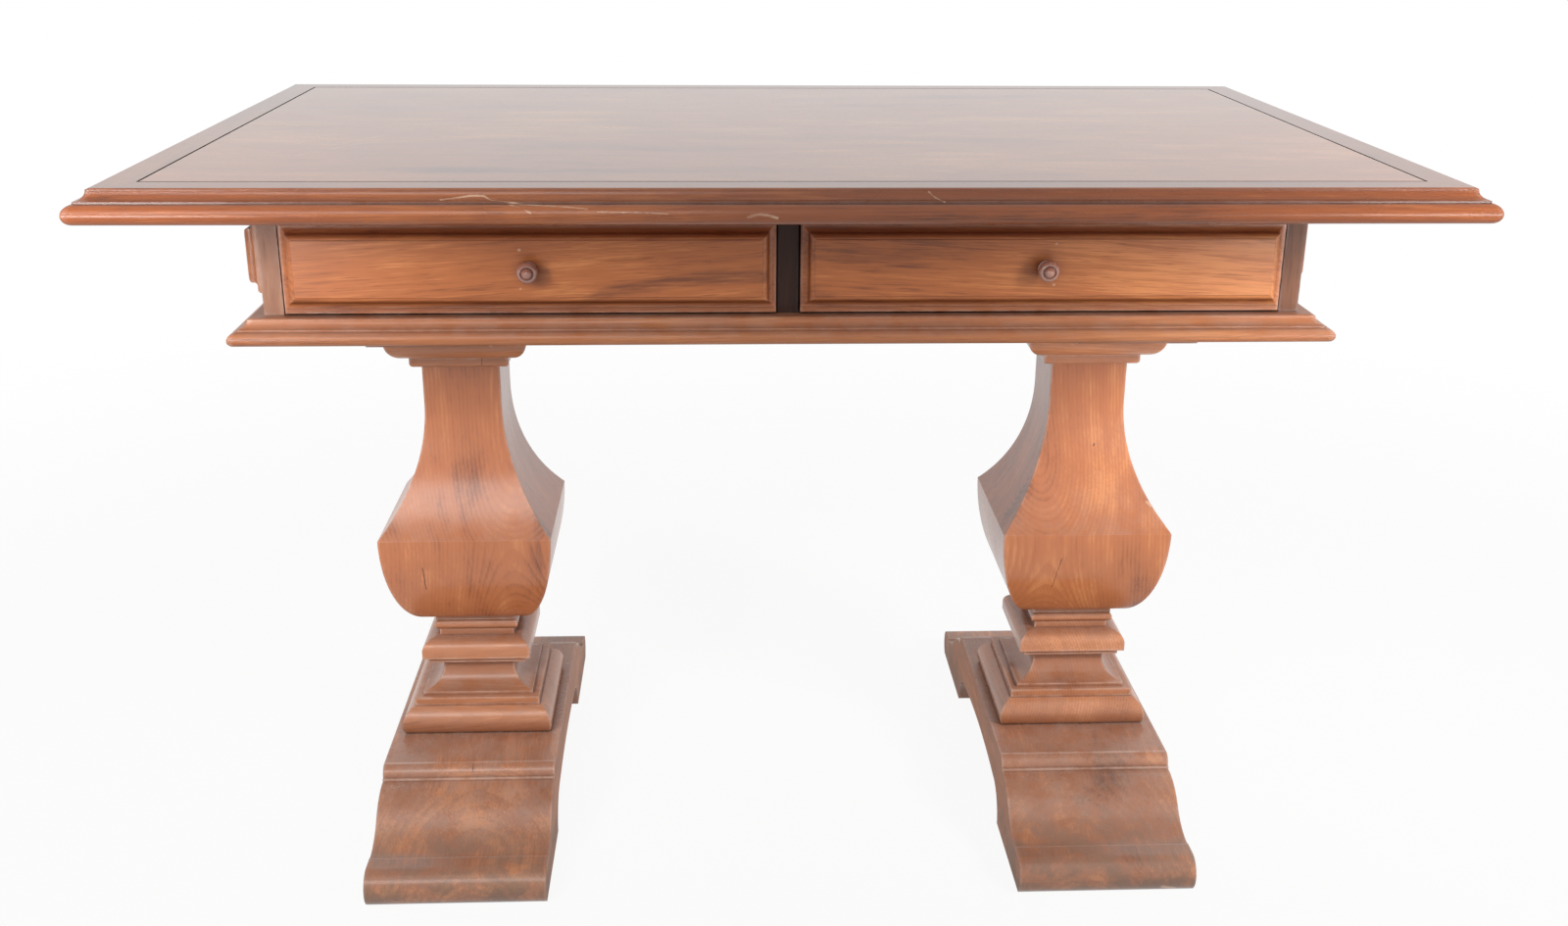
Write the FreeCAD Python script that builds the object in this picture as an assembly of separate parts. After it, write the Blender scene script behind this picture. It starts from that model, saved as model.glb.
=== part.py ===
import FreeCAD, Part
import math
import os

from FreeCAD import Vector

# A pedestal writing desk, in millimetres. X runs along the desk, Y from the front to the back, Z up.
# The origin is on the floor, under the middle of the desk. Left and right are as seen from the front.

# Feet
foot_width = 192.0
foot_length = 596.0
foot_height = 90.5
foot_flat_length = 302.0
foot_bead_radius = 12.0
foot_fillet = 3.0
toe_length = 39.0
toe_height = 37.0
toe_nose_height = 17.0
toe_undercut = 8.0
toe_line_step = 1.5
arch_length = 306.0
arch_height = 48.0
arch_shoulder_radius = 40.0

# Plinth torus on the foot
torus_width = 172.4
torus_height = 30.5
torus_seat_width = 166.0
torus_nose_height = 9.5
torus_top_width = 147.0

# Scotia block on the torus
step_width = 144.0
step_height = 9.5
scotia_fillet_width = 127.2
scotia_fillet_height = 3.5
scotia_neck_width = 82.6
scotia_neck_height = 6.0
scotia_cove_radius = 6.0

# Collar and ring under the bowl
collar_fillet_width = 111.2
collar_fillet_height = 7.0
collar_width = 124.0
collar_edge_height = 9.0
collar_ovolo_height = 14.0
collar_top_width = 92.0
ring_neck_width = 86.0
ring_gap_height = 8.0
ring_height = 12.0
ring_projection = 5.0
bowl_fillet_width = 91.6
bowl_fillet_height = 8.0

# Bowl and shaft
bowl_seat_width = 100.0
bowl_width = 191.0
bowl_height = 111.0
flare_height = 143.0
shaft_width = 85.2
shaft_straight_height = 45.5

# Cap and bearer
pedestal_inset = 146.0
cap_fillet_width = 108.0
cap_fillet_height = 12.0
cap_fillet_radius = 5.0
cap_width = 153.0
cap_height = 34.0
cap_ovolo_radius = 22.0
bearer_width = 120.0
bearer_end_inset = 29.5
bearer_height = 44.5
bearer_flat_length = 220.0
bearer_end_height = 16.0

# Case
top_overhang = 107.5
case_height = 110.0
case_wall = 18.0
stile_lap = 1.0
partition_thickness = 16.0
muntin_lap = 2.0
muntin_setback = 3.0
rail_depth = 40.0
rail_height = 16.0
kicker_width = 20.0

# Base moulding under the case
base_ledge = 12.0
base_width = 48.0
base_lip = 1.6
base_lip_drop = 1.0
base_cavetto = 8.0
base_fillet = 2.0
base_shelf = 1.5
base_torus_radius = 6.5

# Top
top_length = 1246.0
top_depth = 783.0
border_width = 30.3
edge_lip = 2.0
edge_lip_drop = 1.0
edge_cavetto = 9.0
edge_fillet = 2.0
edge_shelf = -0.5
edge_torus_radius = 9.0
seam_offset = 0.0
string_width = 2.2
string_depth = 3.0

# Tongues and grooves that hold the floor in the base moulding and the boards in the border
tongue_thickness = 8.0
tongue_length = 8.0

# Raised mouldings of the drawer fronts and the panels
bevel_riser = 1.5
bevel_cove_width = 7.0
bevel_cove_rise = 4.5
bevel_quirk = 1.5
bevel_ovolo_width = 5.0
bevel_ovolo_rise = 4.5
bevel_field_step = 0.5
panel_base = 3.0
panel_side_margin = 1.0
panel_top_margin = 1.0
panel_edge_inset = 21.0
panel_near_inset = 3.0
panel_far_inset = 25.0

# Drawers
drawer_side_clearance = 1.5
drawer_top_clearance = 1.7
drawer_foot_clearance = 2.0
drawer_running_clearance = 0.3
drawer_back_gap = 20.0
front_base = 17.5
front_proud = 2.5
front_side_margin = 1.0
front_top_margin = 5.6
drawer_side_thickness = 10.0
drawer_side_drop = 15.7
drawer_back_thickness = 12.0
drawer_back_drop = 5.0
drawer_bottom_thickness = 6.0
drawer_bottom_lift = 8.0
drawer_groove_depth = 5.0
dovetail_length = 10.0
dovetail_root = 18.0
dovetail_flare = 2.0
dovetail_margin = 4.0
stop_length = 20.0
stop_width = 30.0
stop_height = 5.0
stop_clearance = 0.3
stop_spacing = 240.0

# Knobs
knob_radius = 10.2
knob_length = 24.0
knob_flange_radius = 7.6
knob_flange = 2.6
knob_neck_radius = 5.0
knob_neck = 8.5
knob_rim = 15.5
knob_ring_radius = 6.6
knob_ring_rise = 5.0
knob_button_radius = 5.6
knob_groove = 1.6
knob_tenon_radius = 5.0
knob_tenon = 22.0
knob_clearance = 0.2

# Fasteners
rod_radius = 5.0
rod_clearance = 0.25
rod_end = 2.5
nut_across_flats = 17.0
nut_height = 8.0
nut_flange_radius = 11.5
nut_flange = 2.5
nut_pocket_clearance = 1.5
nut_pocket_spare = 3.0
screw_radius = 2.5
screw_head_radius = 5.0
screw_head = 3.5
screw_bite = 16.0
screw_clearance = 0.2
screw_pocket_clearance = 1.5
bearer_screw_cover = 20.0
bearer_screw_side_inset = 20.0
bearer_screw_end_inset = 75.0
top_screw_recess = 4.0
top_screw_end_inset = 105.5

# Heights and half sizes that follow from the sizes above
base_height = base_lip_drop + base_cavetto + base_fillet + 2 * base_torus_radius
top_thickness = edge_lip_drop + edge_cavetto + edge_fillet + 2 * edge_torus_radius
scotia_curve = (scotia_fillet_width - scotia_neck_width) / 2
torus_z = foot_height
scotia_z = torus_z + torus_height
collar_z = (
    scotia_z + step_height + scotia_fillet_height + scotia_curve
    + scotia_neck_height + scotia_cove_radius
)
bowl_z = (
    collar_z + collar_fillet_height + collar_edge_height + collar_ovolo_height
    + ring_gap_height + ring_height + bowl_fillet_height
)
arris_z = bowl_z + bowl_height
cap_fillet_z = arris_z + flare_height + shaft_straight_height
cap_z = cap_fillet_z + cap_fillet_height
bearer_z = cap_z + cap_height
base_z = bearer_z + bearer_height
floor_z = base_z + base_height
case_top_z = floor_z + case_height
desk_height = case_top_z + top_thickness
rail_z = case_top_z - rail_height

edge_projection = edge_lip + edge_cavetto + edge_shelf + edge_torus_radius
arris_half_x = top_length / 2 - edge_projection
arris_half_y = top_depth / 2 - edge_projection
field_half_x = arris_half_x - border_width
field_half_y = arris_half_y - border_width
case_half_x = arris_half_x - top_overhang
case_half_y = arris_half_y - top_overhang
pedestal_x = case_half_x - pedestal_inset
bearer_half_y = case_half_y - bearer_end_inset
wall_inside_x = case_half_x - case_wall
wall_inside_y = case_half_y - case_wall
rail_back_y = rail_depth - case_half_y
base_half_x = case_half_x + base_ledge
base_half_y = case_half_y + base_ledge
muntin_width = partition_thickness + 2 * muntin_lap

bevel_width = bevel_cove_width + bevel_ovolo_width + bevel_field_step
bevel_relief = bevel_riser + bevel_cove_rise + bevel_quirk + bevel_ovolo_rise + bevel_field_step

opening_inner_x = muntin_width / 2
opening_outer_x = wall_inside_x - stile_lap
front_width = opening_outer_x - opening_inner_x - 2 * drawer_side_clearance
front_height = rail_z - floor_z - drawer_top_clearance - drawer_foot_clearance
front_foot_z = floor_z + drawer_foot_clearance
front_middle_z = front_foot_z + front_height / 2
drawer_x = (opening_inner_x + opening_outer_x) / 2
front_back_y = front_base - front_proud - case_half_y
front_face_y = front_back_y - front_base - bevel_relief
drawer_rear_y = wall_inside_y - drawer_back_gap
drawer_foot_z = floor_z + drawer_running_clearance
drawer_bottom_z = drawer_foot_z + drawer_bottom_lift
drawer_bottom_top_z = drawer_bottom_z + drawer_bottom_thickness
drawer_side_top_z = rail_z - drawer_side_drop
nut_pocket_radius = nut_flange_radius + nut_pocket_clearance
nut_pocket_depth = nut_flange + nut_height + rod_end + nut_pocket_spare

Z_AXIS = Vector(0, 0, 1)
ORIGIN = Vector(0, 0, 0)
nodes = {}


# Helpers for sections, which are drawn as (u, z) pairs in the XZ plane

def point(pair):
    return Vector(pair[0], 0, pair[1])


def line(start, end):
    return Part.LineSegment(point(start), point(end)).toShape()


def arc_through(start, middle, end):
    return Part.Arc(point(start), point(middle), point(end)).toShape()


def arc_about(centre, start, end):
    """The shorter arc from start to end about centre."""
    radius = math.hypot(start[0] - centre[0], start[1] - centre[1])
    across = ((start[0] + end[0]) / 2 - centre[0], (start[1] + end[1]) / 2 - centre[1])
    reach = radius / math.hypot(*across)
    middle = (centre[0] + across[0] * reach, centre[1] + across[1] * reach)
    return arc_through(start, middle, end)


def upright_arc(start, end):
    """An arc that leaves start straight up or down."""
    across = end[0] - start[0]
    rise = end[1] - start[1]
    return arc_about((start[0] + (across ** 2 + rise ** 2) / (2 * across), start[1]), start, end)


def level_arc(start, end):
    """An arc that leaves start level."""
    across = end[0] - start[0]
    rise = end[1] - start[1]
    return arc_about((start[0], start[1] + (across ** 2 + rise ** 2) / (2 * rise)), start, end)


def quarter(level_end, upright_end):
    """A quarter of an ellipse, level at its first end and upright at its second."""
    centre = (level_end[0], upright_end[1])
    across = abs(upright_end[0] - level_end[0])
    rise = abs(upright_end[1] - level_end[1])
    if abs(across - rise) < 1e-6:
        return arc_about(centre, level_end, upright_end)
    long_end, short_end = (upright_end, level_end) if across > rise else (level_end, upright_end)
    ellipse = Part.Ellipse(point(long_end), point(short_end), point(centre))
    first = ellipse.parameter(point(level_end))
    last = ellipse.parameter(point(upright_end))
    if (last - first) % (2 * math.pi) > math.pi:
        first, last = last, first
    return Part.ArcOfEllipse(ellipse, first, last).toShape()


def run(*pairs):
    """Straight edges from pair to pair."""
    return [line(start, end) for start, end in zip(pairs, pairs[1:])]


def face_of(edges):
    return Part.Face(Part.Wire(Part.__sortEdges__(edges)))


def both_halves(edges, low, high):
    """A closed section from the edges of its right half, which runs from low to high."""
    mirrored = [edge.mirror(ORIGIN, Vector(1, 0, 0)) for edge in edges]
    closing = [line(low, (-low[0], low[1])), line(high, (-high[0], high[1]))]
    return face_of(edges + mirrored + closing)


# Helpers for solids

def box(x0, x1, y0, y1, z0, z1):
    return Part.makeBox(x1 - x0, y1 - y0, z1 - z0, Vector(x0, y0, z0))


def cylinder(radius, x, y, z0, z1):
    return Part.makeCylinder(radius, z1 - z0, Vector(x, y, z0))


def moved(shape, x=0.0, y=0.0, z=0.0):
    copy = shape.copy()
    copy.translate(Vector(x, y, z))
    return copy


def turned(shape, degrees):
    copy = shape.copy()
    copy.rotate(ORIGIN, Z_AXIS, degrees)
    return copy


def slab_along_y(section, length):
    return moved(section.extrude(Vector(0, length, 0)), y=-length / 2)


def square_block(edges, low, high):
    """A block that is square in plan, with the same moulded outline on all four sides."""
    section = both_halves(edges, low, high)
    slab = slab_along_y(section, section.BoundBox.XLength + 2)
    return slab.common(turned(slab, 90))


def frame_side(section, inner_width, half_length, half_depth, turn):
    """One mitred side of a frame. The section's u runs outwards from the frame's line at half_depth."""
    reach = section.BoundBox.XMax + 1
    low = section.BoundBox.ZMin - 1
    high = section.BoundBox.ZMax + 1
    placed = moved(turned(section, -90), x=-half_length - reach, y=-half_depth)
    bar = placed.extrude(Vector(2 * (half_length + reach), 0, 0))
    mitre = Part.makePolygon([
        Vector(-half_length - reach, -half_depth - reach, low),
        Vector(half_length + reach, -half_depth - reach, low),
        Vector(half_length - inner_width, inner_width - half_depth, low),
        Vector(inner_width - half_length, inner_width - half_depth, low),
        Vector(-half_length - reach, -half_depth - reach, low),
    ])
    wedge = Part.Face(mitre).extrude(Vector(0, 0, high - low))
    return turned(bar.common(wedge), turn)


def frame(section, inner_width, half_x, half_y):
    """The four mitred sides of a frame, by name."""
    return {
        "front": frame_side(section, inner_width, half_x, half_y, 0),
        "rear": frame_side(section, inner_width, half_x, half_y, 180),
        "left": frame_side(section, inner_width, half_y, half_x, -90),
        "right": frame_side(section, inner_width, half_y, half_x, 90),
    }


def moulded_edge(top_z, lip, lip_drop, cavetto, fillet, shelf, torus, inner_width):
    """The section of a moulded board: lip, cavetto, fillet and torus, with a groove in its inner edge."""
    cavetto_top = (lip, top_z - lip_drop)
    cavetto_foot = (lip + cavetto, top_z - lip_drop - cavetto)
    fillet_foot = (cavetto_foot[0], cavetto_foot[1] - fillet)
    torus_top = (cavetto_foot[0] + shelf, fillet_foot[1])
    torus_nose = (torus_top[0] + torus, torus_top[1] - torus)
    torus_foot = (torus_top[0], torus_top[1] - 2 * torus)
    groove_low = (top_z + torus_foot[1] - tongue_thickness) / 2
    groove_high = groove_low + tongue_thickness
    inside = -inner_width
    edges = run((inside, top_z), (0, top_z), cavetto_top)
    edges.append(quarter(cavetto_foot, cavetto_top))
    edges.extend(run(cavetto_foot, fillet_foot, torus_top))
    edges.append(quarter(torus_top, torus_nose))
    edges.append(quarter(torus_foot, torus_nose))
    edges.extend(run(
        torus_foot, (inside, torus_foot[1]), (inside, groove_low), (inside + tongue_length, groove_low),
        (inside + tongue_length, groove_high), (inside, groove_high), (inside, top_z),
    ))
    return face_of(edges)


def raised_board(width, height, base, side_margin, top_margin):
    """A board with a raised field, facing -Y, with the middle of its back at the origin."""

    def half_edges(half, margin):
        rim = half - margin
        riser = base + bevel_riser
        cove_in = (rim - bevel_cove_width, riser + bevel_cove_rise)
        quirk = (cove_in[0], cove_in[1] + bevel_quirk)
        ovolo_in = (quirk[0] - bevel_ovolo_width, quirk[1] + bevel_ovolo_rise)
        field = (ovolo_in[0] - bevel_field_step, ovolo_in[1] + bevel_field_step)
        edges = run((half, 0), (half, base), (rim, base), (rim, riser))
        edges.append(quarter((rim, riser), cove_in))
        edges.extend(run(cove_in, quirk))
        edges.append(quarter(ovolo_in, quirk))
        edges.extend(run(ovolo_in, field))
        return edges, field

    along_edges, along_field = half_edges(width / 2, side_margin)
    along = slab_along_y(both_halves(along_edges, (width / 2, 0), along_field), height)
    across_edges, across_field = half_edges(height / 2, top_margin)
    across = slab_along_y(both_halves(across_edges, (height / 2, 0), across_field), width)
    across.rotate(ORIGIN, Z_AXIS, 90)
    board = along.common(across)
    board.rotate(ORIGIN, Vector(1, 0, 0), 90)
    return board


def screw(x, y, seat_z, tip_z):
    """A round-headed screw, driven upwards, whose head bears on seat_z."""
    head = cylinder(screw_head_radius, x, y, seat_z - screw_head, seat_z)
    return head.fuse(cylinder(screw_radius, x, y, seat_z, tip_z)).removeSplitter()


def screw_hole(x, y, mouth_z, seat_z, tip_z):
    """The pocket and the pilot hole for a screw."""
    pocket = cylinder(screw_head_radius + screw_pocket_clearance, x, y, mouth_z, seat_z)
    pilot = cylinder(screw_radius + screw_clearance, x, y, seat_z, tip_z + screw_clearance)
    return pocket.fuse(pilot)


def rod_hole(low_z, high_z):
    return cylinder(rod_radius + rod_clearance, 0, 0, low_z, high_z)


def flange_nut(face_z, way):
    """A nut on the pedestal's axis, whose flange bears on face_z and whose body stands off by way."""
    flange_end = face_z + way * nut_flange
    nut_end = flange_end + way * nut_height
    corner = nut_across_flats / (2 * math.cos(math.pi / 6))
    hexagon = Part.makePolygon([
        Vector(corner * math.cos(i * math.pi / 3), corner * math.sin(i * math.pi / 3), min(flange_end, nut_end))
        for i in range(7)
    ])
    body = Part.Face(hexagon).extrude(Vector(0, 0, nut_height))
    flange = cylinder(nut_flange_radius, 0, 0, min(face_z, flange_end), max(face_z, flange_end))
    bore = rod_hole(min(face_z, nut_end) - 1, max(face_z, nut_end) + 1)
    return body.fuse(flange).removeSplitter().cut(bore)


# Pedestals

def foot():
    flat = (foot_flat_length / 2, foot_height)
    bead_foot = (flat[0] + foot_bead_radius, foot_height - foot_bead_radius)
    shelf = (bead_foot[0] + foot_fillet, bead_foot[1])
    cyma_top = (shelf[0], shelf[1] - foot_fillet)
    end = foot_length / 2
    toe_line = (end - toe_length, toe_height - toe_line_step)
    cyma_middle = ((cyma_top[0] + toe_line[0]) / 2, (cyma_top[1] + toe_line[1]) / 2)
    toe_top = (toe_line[0], toe_height)
    nose = (end, toe_nose_height)
    roll_top = (end - (toe_height - toe_nose_height), toe_height)
    toe_sole = (end - toe_undercut, 0)
    arch_end = (arch_length / 2, 0)
    shoulder = (arch_end[0] - arch_shoulder_radius, arch_shoulder_radius)
    half = run(arch_end, toe_sole)
    half.append(upright_arc(nose, toe_sole))
    half.append(quarter(roll_top, nose))
    half.extend(run(roll_top, toe_top, toe_line))
    half.append(level_arc(toe_line, cyma_middle))
    half.append(level_arc(cyma_top, cyma_middle))
    half.extend(run(cyma_top, shelf, bead_foot))
    half.append(quarter(flat, bead_foot))
    half.append(quarter(shoulder, arch_end))
    mirrored = [edge.mirror(ORIGIN, Vector(1, 0, 0)) for edge in half]
    crown = arc_through(shoulder, (0, arch_height), (-shoulder[0], shoulder[1]))
    section = face_of(half + mirrored + [crown, line(flat, (-flat[0], flat[1]))])
    body = turned(slab_along_y(section, foot_width), 90)
    pocket_top = arch_height + nut_pocket_depth
    pocket = cylinder(nut_pocket_radius, 0, 0, 0, pocket_top)
    return body.cut(pocket).cut(rod_hole(pocket_top - 1, foot_height + 1))


def plinth_torus():
    seat = (torus_seat_width / 2, torus_z)
    nose = (torus_width / 2, torus_z + torus_nose_height)
    top = (torus_top_width / 2, scotia_z)
    block = square_block([upright_arc(nose, seat), upright_arc(nose, top)], seat, top)
    return block.cut(rod_hole(torus_z - 1, scotia_z + 1))


def scotia_block():
    low = (step_width / 2, scotia_z)
    step_top_z = scotia_z + step_height
    fillet_top = (scotia_fillet_width / 2, step_top_z + scotia_fillet_height)
    neck_foot = (scotia_neck_width / 2, fillet_top[1] + scotia_curve)
    neck_head = (neck_foot[0], neck_foot[1] + scotia_neck_height)
    high = (neck_head[0] + scotia_cove_radius, collar_z)
    edges = run(low, (low[0], step_top_z), (fillet_top[0], step_top_z), fillet_top)
    edges.append(quarter(fillet_top, neck_foot))
    edges.extend(run(neck_foot, neck_head))
    edges.append(quarter(high, neck_head))
    return square_block(edges, low, high).cut(rod_hole(scotia_z - 1, collar_z + 1))


def neck_collar():
    low = (collar_fillet_width / 2, collar_z)
    edge_z = collar_z + collar_fillet_height
    edge_top = (collar_width / 2, edge_z + collar_edge_height)
    ovolo_top = (collar_top_width / 2, edge_top[1] + collar_ovolo_height)
    neck = ring_neck_width / 2
    ring_foot = (neck, ovolo_top[1] + ring_gap_height)
    ring_nose = (neck + ring_projection, ring_foot[1] + ring_height / 2)
    ring_top = (neck, ring_foot[1] + ring_height)
    high = (bowl_fillet_width / 2, bowl_z)
    edges = run(low, (low[0], edge_z), (edge_top[0], edge_z), edge_top)
    edges.append(quarter(ovolo_top, edge_top))
    edges.extend(run(ovolo_top, (neck, ovolo_top[1]), ring_foot))
    edges.append(arc_through(ring_foot, ring_nose, ring_top))
    edges.extend(run(ring_top, (high[0], ring_top[1]), high))
    return square_block(edges, low, high).cut(rod_hole(collar_z - 1, bowl_z + 1))


def shaft():
    low = (bowl_seat_width / 2, bowl_z)
    arris = (bowl_width / 2, arris_z)
    flare_top = (shaft_width / 2, arris_z + flare_height)
    high = (flare_top[0], cap_fillet_z)
    edges = [quarter(low, arris), upright_arc(flare_top, arris), line(flare_top, high)]
    return square_block(edges, low, high).cut(rod_hole(bowl_z - 1, cap_fillet_z + 1))


def cap_fillet():
    half = cap_fillet_width / 2
    low = (half - cap_fillet_radius, cap_fillet_z)
    round_top = (half, cap_fillet_z + cap_fillet_radius)
    edges = [quarter(low, round_top), line(round_top, (half, cap_z))]
    return square_block(edges, low, (half, cap_z)).cut(rod_hole(cap_fillet_z - 1, cap_z + 1))


def cap():
    half = cap_width / 2
    low = (half - cap_ovolo_radius, cap_z)
    ovolo_top = (half, cap_z + cap_ovolo_radius)
    edges = [quarter(low, ovolo_top), line(ovolo_top, (half, bearer_z))]
    return square_block(edges, low, (half, bearer_z)).cut(rod_hole(cap_z - 1, bearer_z + 1))


def bearer_screw_places():
    x = bearer_width / 2 - bearer_screw_side_inset
    y = bearer_half_y - bearer_screw_end_inset
    return [(-x, -y), (-x, y), (x, -y), (x, y)]


def bearer():
    low = (bearer_flat_length / 2, bearer_z)
    end = (bearer_half_y, base_z - bearer_end_height)
    high = (bearer_half_y, base_z)
    section = both_halves(run(low, end, high), low, high)
    body = turned(slab_along_y(section, bearer_width), 90)
    for x, y in bearer_screw_places():
        body = body.cut(screw_hole(x, y, bearer_z, base_z - bearer_screw_cover, base_z + 1))
    pocket_floor = base_z - nut_pocket_depth
    pocket = cylinder(nut_pocket_radius, 0, 0, pocket_floor, base_z + 1)
    return body.cut(pocket).cut(rod_hole(bearer_z - 1, pocket_floor + 1))


def pedestals():
    pieces = {
        "foot": foot(),
        "plinth_torus": plinth_torus(),
        "scotia_block": scotia_block(),
        "neck_collar": neck_collar(),
        "shaft": shaft(),
        "cap_fillet": cap_fillet(),
        "cap": cap(),
        "bearer": bearer(),
    }
    lower_seat = arch_height + nut_pocket_depth
    upper_seat = base_z - nut_pocket_depth
    rod_low = lower_seat - nut_flange - nut_height - rod_end
    rod_high = upper_seat + nut_flange + nut_height + rod_end
    rod = cylinder(rod_radius, 0, 0, rod_low, rod_high)
    nuts = [flange_nut(lower_seat, -1), flange_nut(upper_seat, 1)]
    seat = base_z - bearer_screw_cover
    screws = [screw(x, y, seat, base_z + screw_bite) for x, y in bearer_screw_places()]
    for side, x in (("left", -pedestal_x), ("right", pedestal_x)):
        for name, piece in pieces.items():
            nodes[f"{side}_{name}"] = moved(piece, x=x)
    both = (-pedestal_x, pedestal_x)
    nodes["pedestal_tie_rods"] = Part.makeCompound([moved(rod, x=x) for x in both])
    nodes["tie_rod_nuts"] = Part.makeCompound([moved(nut, x=x) for x in both for nut in nuts])
    nodes["bearer_screws"] = Part.makeCompound([moved(piece, x=x) for x in both for piece in screws])


# Case

def base_frame():
    section = moulded_edge(
        floor_z, base_lip, base_lip_drop, base_cavetto, base_fillet, base_shelf, base_torus_radius, base_width
    )
    for side, piece in frame(section, base_width, base_half_x, base_half_y).items():
        nodes[f"base_moulding_{side}"] = piece


def tongued_board(x0, x1, y0, y1, z0, z1, tongues):
    """A board with tongues along the edges named, halfway up its thickness."""
    board = box(x0, x1, y0, y1, z0, z1)
    low = (z0 + z1 - tongue_thickness) / 2
    reach = {side: tongue_length if side in tongues else 0.0 for side in ("left", "right", "front", "rear")}
    tongue = box(
        x0 - reach["left"], x1 + reach["right"], y0 - reach["front"], y1 + reach["rear"],
        low, low + tongue_thickness,
    )
    return board.fuse(tongue).removeSplitter()


def case_floor():
    half_x = base_half_x - base_width
    half_y = base_half_y - base_width
    sides = ("left", "right", "front", "rear")
    board = tongued_board(-half_x, half_x, -half_y, half_y, base_z, floor_z, sides)
    for centre in (-pedestal_x, pedestal_x):
        for x, y in bearer_screw_places():
            tip = base_z + screw_bite + screw_clearance
            board = board.cut(cylinder(screw_radius + screw_clearance, centre + x, y, base_z - 1, tip))
    nodes["case_floor"] = board


def kicker_places():
    """The middles of the strips over the drawer sides: two by the ends and two by the partition."""
    outer = wall_inside_x - kicker_width / 2
    inner = partition_thickness / 2 + kicker_width / 2
    return (-outer, -inner, inner, outer)


def top_screw_places():
    ends = (rail_back_y + top_screw_end_inset, wall_inside_y - top_screw_end_inset)
    return [(x, y) for x in kicker_places() for y in ends]


def case_walls():
    for side, way in (("left", -1), ("right", 1)):
        outer = way * case_half_x
        end_inside = way * wall_inside_x
        stile_inside = way * opening_outer_x
        nodes[f"case_{side}_end"] = box(
            min(outer, end_inside), max(outer, end_inside), rail_back_y, case_half_y, floor_z, case_top_z
        )
        nodes[f"front_{side}_stile"] = box(
            min(outer, stile_inside), max(outer, stile_inside), -case_half_y, rail_back_y, floor_z, case_top_z
        )
    nodes["case_back"] = box(-wall_inside_x, wall_inside_x, wall_inside_y, case_half_y, floor_z, case_top_z)
    nodes["front_top_rail"] = box(
        -opening_outer_x, opening_outer_x, -case_half_y, rail_back_y, rail_z, case_top_z
    )
    nodes["centre_muntin"] = box(
        -muntin_width / 2, muntin_width / 2, muntin_setback - case_half_y, rail_back_y, floor_z, rail_z
    )
    half = partition_thickness / 2
    nodes["centre_partition"] = box(-half, half, rail_back_y, wall_inside_y, floor_z, case_top_z)


def kickers():
    strips = []
    seat = rail_z + top_screw_recess
    for middle in kicker_places():
        strip = box(
            middle - kicker_width / 2, middle + kicker_width / 2, rail_back_y, wall_inside_y, rail_z, case_top_z
        )
        for x, y in top_screw_places():
            if x == middle:
                strip = strip.cut(screw_hole(x, y, rail_z - 1, seat, case_top_z + 1))
        strips.append(strip)
    nodes["drawer_kickers"] = Part.makeCompound(strips)
    tip = case_top_z + screw_bite
    nodes["top_screws"] = Part.makeCompound([screw(x, y, seat, tip) for x, y in top_screw_places()])


def raised_panels():
    middle_z = (floor_z + case_top_z) / 2
    panel_height = case_height - 2 * panel_edge_inset
    end_length = 2 * case_half_y - panel_near_inset - panel_far_inset
    end_shift = (panel_far_inset - panel_near_inset) / 2
    end_panel = raised_board(end_length, panel_height, panel_base, panel_side_margin, panel_top_margin)
    rear_panel = raised_board(front_width, panel_height, panel_base, panel_side_margin, panel_top_margin)
    nodes["left_end_panel"] = moved(turned(end_panel, -90), x=-case_half_x, y=-end_shift, z=middle_z)
    nodes["right_end_panel"] = moved(turned(end_panel, 90), x=case_half_x, y=end_shift, z=middle_z)
    nodes["rear_left_panel"] = moved(turned(rear_panel, 180), x=-drawer_x, y=case_half_y, z=middle_z)
    nodes["rear_right_panel"] = moved(turned(rear_panel, 180), x=drawer_x, y=case_half_y, z=middle_z)


def drawer_stops():
    low_y = front_back_y + stop_clearance
    stops = []
    for centre in (-drawer_x, drawer_x):
        for way in (-1, 1):
            middle = centre + way * stop_spacing / 2
            stops.append(box(
                middle - stop_width / 2, middle + stop_width / 2, low_y, low_y + stop_length,
                floor_z, floor_z + stop_height,
            ))
    nodes["drawer_stops"] = Part.makeCompound(stops)


# Top

def top():
    section = moulded_edge(
        desk_height, edge_lip, edge_lip_drop, edge_cavetto, edge_fillet, edge_shelf, edge_torus_radius,
        border_width,
    )
    for side, piece in frame(section, border_width, arris_half_x, arris_half_y).items():
        nodes[f"top_border_{side}"] = piece
    string_low = desk_height - string_depth
    strip = face_of(run(
        (0, desk_height), (0, string_low), (-string_width, string_low), (-string_width, desk_height),
        (0, desk_height),
    ))
    strings = frame(strip, string_width, field_half_x, field_half_y)
    nodes["top_string_inlay"] = Part.makeCompound(list(strings.values()))
    inner_x = field_half_x - string_width
    inner_y = field_half_y - string_width
    rebate = box(-field_half_x, field_half_x, -field_half_y, field_half_y, string_low, desk_height + 1)
    rebate = rebate.cut(box(-inner_x, inner_x, -inner_y, inner_y, string_low - 1, desk_height + 2))
    front = tongued_board(
        -field_half_x, field_half_x, -field_half_y, seam_offset, case_top_z, desk_height,
        ("left", "right", "front", "rear"),
    )
    rear = tongued_board(
        -field_half_x, field_half_x, seam_offset, field_half_y, case_top_z, desk_height,
        ("left", "right", "rear"),
    )
    tip = case_top_z + screw_bite + screw_clearance
    for x, y in top_screw_places():
        hole = cylinder(screw_radius + screw_clearance, x, y, case_top_z - 1, tip)
        front = front.cut(hole)
        rear = rear.cut(hole)
    nodes["top_front_board"] = front.cut(rebate)
    nodes["top_rear_board"] = rear.cut(rebate).cut(front)


# Drawers

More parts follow.
